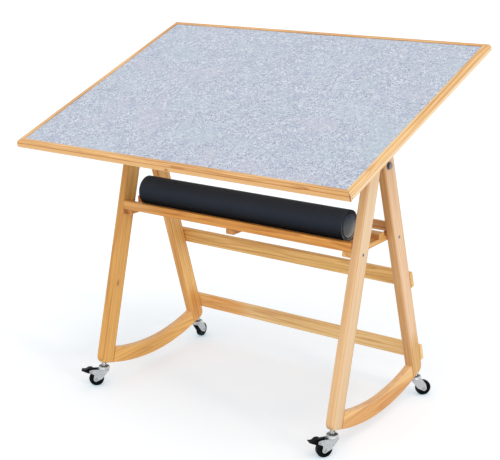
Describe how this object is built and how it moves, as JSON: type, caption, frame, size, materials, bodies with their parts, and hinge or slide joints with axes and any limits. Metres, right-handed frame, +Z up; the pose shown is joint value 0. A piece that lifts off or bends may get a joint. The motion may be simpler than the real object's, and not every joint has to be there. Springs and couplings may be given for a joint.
{
  "type": "jigsaw puzzle table",
  "caption": "Tilting felt-faced jigsaw puzzle table on A-shaped pine end frames with a slatted shelf, rear stretchers, swivel casters and a rolled cover mat.",
  "frame": {"origin": "centre of the bounding box on the floor plane, under the table", "axes": "+X along the board's long side, +Y from the low front edge towards the high rear edge, +Z up"},
  "size_m": [0.93, 0.6157, 0.8646],
  "materials": {
    "pine_frame": "clear satin lacquer on pine",
    "pine_rail": "clear satin lacquer on pine",
    "board_panel": "thin fibre panel",
    "felt": "heathered light grey felt",
    "mat_cloth": "black cover cloth with a light grey inner face",
    "zinc_steel": "bright zinc plating",
    "black_steel": "black powder coat",
    "black_plastic": "black moulded plastic",
    "tyre": "black moulded wheel"
  },
  "bodies": {
    "stand": {"front_leg_left": "pine_frame", "front_leg_right": "pine_frame", "rear_leg_left": "pine_frame", "rear_leg_right": "pine_frame", "curved_rail_left": "pine_frame", "curved_rail_right": "pine_frame", "upper_stretcher": "pine_frame", "lower_stretcher": "pine_frame", "shelf_front_rail": "pine_frame", "shelf_cradle_rail": "pine_frame", "shelf_slat": "pine_frame", "shelf_back_rail": "pine_frame", "shelf_batten_left": "pine_frame", "shelf_batten_middle": "pine_frame", "shelf_batten_right": "pine_frame", "stretcher_screws": "zinc_steel", "shelf_screws": "zinc_steel", "shelf_bolts": "zinc_steel", "pivot_bolts": "zinc_steel", "pivot_nuts": "zinc_steel", "pivot_washers": "zinc_steel", "clamp_bolts": "zinc_steel", "caster_stem_front_left": "zinc_steel", "caster_stem_front_right": "zinc_steel", "caster_stem_rear_left": "zinc_steel", "caster_stem_rear_right": "zinc_steel"},
    "board": {"frame_rail_front": "pine_rail", "frame_rail_back": "pine_rail", "frame_rail_left": "pine_rail", "frame_rail_right": "pine_rail", "board_cleat_left": "pine_rail", "board_cleat_right": "pine_rail", "board_panel": "board_panel", "felt_sheet": "felt", "corner_pins": "zinc_steel", "cleat_screws": "zinc_steel", "quadrant_screws": "zinc_steel", "tilt_quadrant_left": "black_steel", "tilt_quadrant_right": "black_steel"},
    "tilt_knob_left": {"tilt_knob_left": "black_plastic"},
    "tilt_knob_right": {"tilt_knob_right": "black_plastic"},
    "rolled_mat": {"rolled_mat": "mat_cloth"},
    "caster_fork_front_left": {"caster_fork_front_left": "zinc_steel", "caster_axle_front_left": "zinc_steel", "brake_pin_front_left": "zinc_steel"},
    "caster_wheel_front_left": {"caster_wheel_front_left": "tyre"},
    "brake_pedal_front_left": {"brake_pedal_front_left": "black_plastic"},
    "caster_fork_front_right": {"caster_fork_front_right": "zinc_steel", "caster_axle_front_right": "zinc_steel", "brake_pin_front_right": "zinc_steel"},
    "caster_wheel_front_right": {"caster_wheel_front_right": "tyre"},
    "brake_pedal_front_right": {"brake_pedal_front_right": "black_plastic"},
    "caster_fork_rear_left": {"caster_fork_rear_left": "zinc_steel", "caster_axle_rear_left": "zinc_steel"},
    "caster_wheel_rear_left": {"caster_wheel_rear_left": "tyre"},
    "caster_fork_rear_right": {"caster_fork_rear_right": "zinc_steel", "caster_axle_rear_right": "zinc_steel"},
    "caster_wheel_rear_right": {"caster_wheel_rear_right": "tyre"}
  },
  "joints": [
    {"name": "board_tilt", "type": "hinge", "parent": "stand", "child": "board", "pos_m": [0, 0.01047, 0.727], "axis": [1, 0, 0], "range_deg": [-19.5, 25.5]},
    {"name": "tilt_knob_left_turn", "type": "hinge", "parent": "stand", "child": "tilt_knob_left", "pos_m": [-0.318, 0.03646, 0.62115], "axis": [1, 0, 0], "range_deg": [0, 360]},
    {"name": "tilt_knob_right_turn", "type": "hinge", "parent": "stand", "child": "tilt_knob_right", "pos_m": [0.318, 0.03646, 0.62115], "axis": [-1, 0, 0], "range_deg": [0, 360]},
    {"name": "mat_lift", "type": "slide", "parent": "stand", "child": "rolled_mat", "axis": [0, 0, 1], "range_m": [0, 0.06]},
    {"name": "caster_swivel_front_left", "type": "hinge", "parent": "stand", "child": "caster_fork_front_left", "pos_m": [-0.344, -0.18154, 0.045], "axis": [0, 0, 1], "continuous": true},
    {"name": "caster_spin_front_left", "type": "hinge", "parent": "caster_fork_front_left", "child": "caster_wheel_front_left", "pos_m": [-0.35987, -0.19371, 0.019], "axis": [0.6088, -0.7934, 0], "continuous": true},
    {"name": "brake_pedal_front_left_press", "type": "hinge", "parent": "caster_fork_front_left", "child": "brake_pedal_front_left", "pos_m": [-0.36939, -0.20101, 0.0395], "axis": [0.6088, -0.7934, 0], "range_deg": [0, 24]},
    {"name": "caster_swivel_front_right", "type": "hinge", "parent": "stand", "child": "caster_fork_front_right", "pos_m": [0.344, -0.18154, 0.045], "axis": [0, 0, 1], "continuous": true},
    {"name": "caster_spin_front_right", "type": "hinge", "parent": "caster_fork_front_right", "child": "caster_wheel_front_right", "pos_m": [0.33239, -0.19782, 0.019], "axis": [0.8141, -0.5807, 0], "continuous": true},
    {"name": "brake_pedal_front_right_press", "type": "hinge", "parent": "caster_fork_front_right", "child": "brake_pedal_front_right", "pos_m": [0.32542, -0.20759, 0.0395], "axis": [0.8141, -0.5807, 0], "range_deg": [0, 24]},
    {"name": "caster_swivel_rear_left", "type": "hinge", "parent": "stand", "child": "caster_fork_rear_left", "pos_m": [-0.344, 0.20247, 0.045], "axis": [0, 0, 1], "continuous": true},
    {"name": "caster_spin_rear_left", "type": "hinge", "parent": "caster_fork_rear_left", "child": "caster_wheel_rear_left", "pos_m": [-0.34685, 0.22226, 0.019], "axis": [-0.9898, -0.1426, 0], "continuous": true},
    {"name": "caster_swivel_rear_right", "type": "hinge", "parent": "stand", "child": "caster_fork_rear_right", "pos_m": [0.344, 0.20247, 0.045], "axis": [0, 0, 1], "continuous": true},
    {"name": "caster_spin_rear_right", "type": "hinge", "parent": "caster_fork_rear_right", "child": "caster_wheel_rear_right", "pos_m": [0.35728, 0.21742, 0.019], "axis": [-0.7478, 0.6639, 0], "continuous": true}
  ]
}
